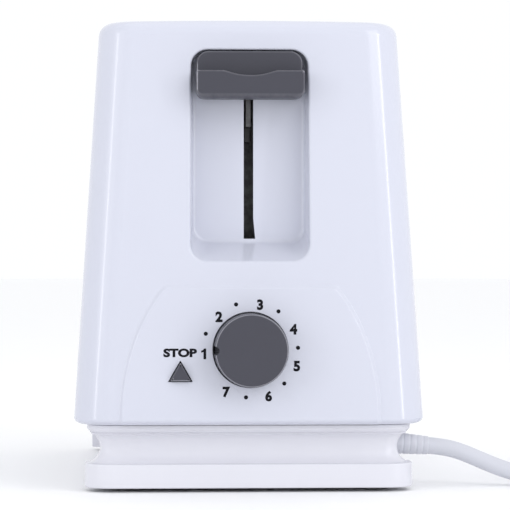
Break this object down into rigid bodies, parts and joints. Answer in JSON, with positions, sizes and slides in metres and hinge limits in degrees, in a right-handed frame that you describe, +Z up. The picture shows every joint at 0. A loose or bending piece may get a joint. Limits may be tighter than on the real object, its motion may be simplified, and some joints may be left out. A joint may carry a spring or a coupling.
{
  "type": "pop up toaster",
  "caption": "White pop up toaster with lengthwise bread slots, an end lever, a browning knob, a stop button, a rear crumb tray and a mains cord with its plug.",
  "frame": {"origin": "bottom centre of the toaster's box, on the surface it stands on, without its cord", "axes": "+X right seen from the lever end, -Y towards the lever end, +Z up"},
  "size_m": [0.3102, 0.274, 0.196],
  "materials": {
    "white_shell": "moulded, glossy",
    "white_base": "moulded, glossy",
    "grey_plastic": "moulded, satin",
    "foot_rubber": "matt",
    "zinc_steel": "zinc plated sheet",
    "dark_steel": "dark plated",
    "rack_steel": "bright wire",
    "polished_rod": "polished",
    "spring_steel": "drawn wire",
    "mica_board": "pressed mica",
    "heating_ribbon": "oxidised ribbon",
    "circuit_board": "laminate",
    "black_plastic": "moulded",
    "coil_winding": "enamelled wire",
    "contact_brass": "rolled",
    "plated_pins": "nickel plated",
    "lead_insulation": "sleeved wire",
    "cord_sheath": "smooth sheath",
    "plug_moulding": "moulded, fine texture"
  },
  "bodies": {
    "housing": {"outer_shell": "white_shell", "base_housing": "white_base", "base_screws": "zinc_steel", "front_bulkhead": "zinc_steel", "rear_bulkhead": "zinc_steel", "chassis_top_plate": "zinc_steel", "mechanism_floor": "zinc_steel", "guide_rod": "polished_rod", "return_spring": "spring_steel", "magnet_core": "zinc_steel", "magnet_coil": "coil_winding", "timer_board": "circuit_board", "board_components": "black_plastic", "browning_potentiometer": "black_plastic", "stop_switch": "black_plastic", "terminal_block": "white_base", "mains_contacts": "contact_brass", "internal_leads": "lead_insulation", "cord_clamp": "black_plastic", "strain_relief": "cord_sheath", "mains_cord": "cord_sheath", "cord_coil": "cord_sheath", "plug_lead": "cord_sheath", "plug_body": "plug_moulding", "plug_pins": "plated_pins", "plug_earth_clips": "contact_brass", "foot_front_left": "foot_rubber", "foot_front_right": "foot_rubber", "foot_rear_left": "foot_rubber", "foot_rear_right": "foot_rubber", "side_reflector_left": "zinc_steel", "bread_guard_left_inner": "rack_steel", "bread_guard_left_outer": "rack_steel", "side_reflector_right": "zinc_steel", "bread_guard_right_inner": "rack_steel", "bread_guard_right_outer": "rack_steel", "heater_board_left": "mica_board", "heating_ribbon_left": "heating_ribbon", "heater_board_centre": "mica_board", "heating_ribbon_centre": "heating_ribbon", "heater_board_right": "mica_board", "heating_ribbon_right": "heating_ribbon"},
    "carriage": {"carriage_plate": "dark_steel", "slider_bushing": "black_plastic", "lever_arm": "dark_steel", "lever_knob": "grey_plastic", "armature_keeper": "zinc_steel", "bread_rack_left": "rack_steel", "bread_rack_right": "rack_steel"},
    "browning_control": {"browning_knob": "grey_plastic", "potentiometer_shaft": "polished_rod"},
    "stop_control": {"stop_button": "grey_plastic"},
    "tray": {"crumb_tray": "zinc_steel", "crumb_tray_handle": "white_base"}
  },
  "joints": [
    {"name": "carriage_slide", "type": "slide", "parent": "housing", "child": "carriage", "axis": [0, 0, -1], "range_m": [0, 0.057], "stiffness_N_per_m": 60, "springref_m": -0.05, "deforming": ["return_spring"]},
    {"name": "browning_turn", "type": "hinge", "parent": "housing", "child": "browning_control", "pos_m": [0, -0.13711, 0.0591], "axis": [0, 1, 0], "range_deg": [0, 302]},
    {"name": "stop_press", "type": "slide", "parent": "housing", "child": "stop_control", "axis": [0, 1, 0], "range_m": [0, 0.0025], "stiffness_N_per_m": 600, "springref_m": -0.0015},
    {"name": "tray_slide", "type": "slide", "parent": "housing", "child": "tray", "axis": [0, 1, 0], "range_m": [0, 0.19]}
  ]
}
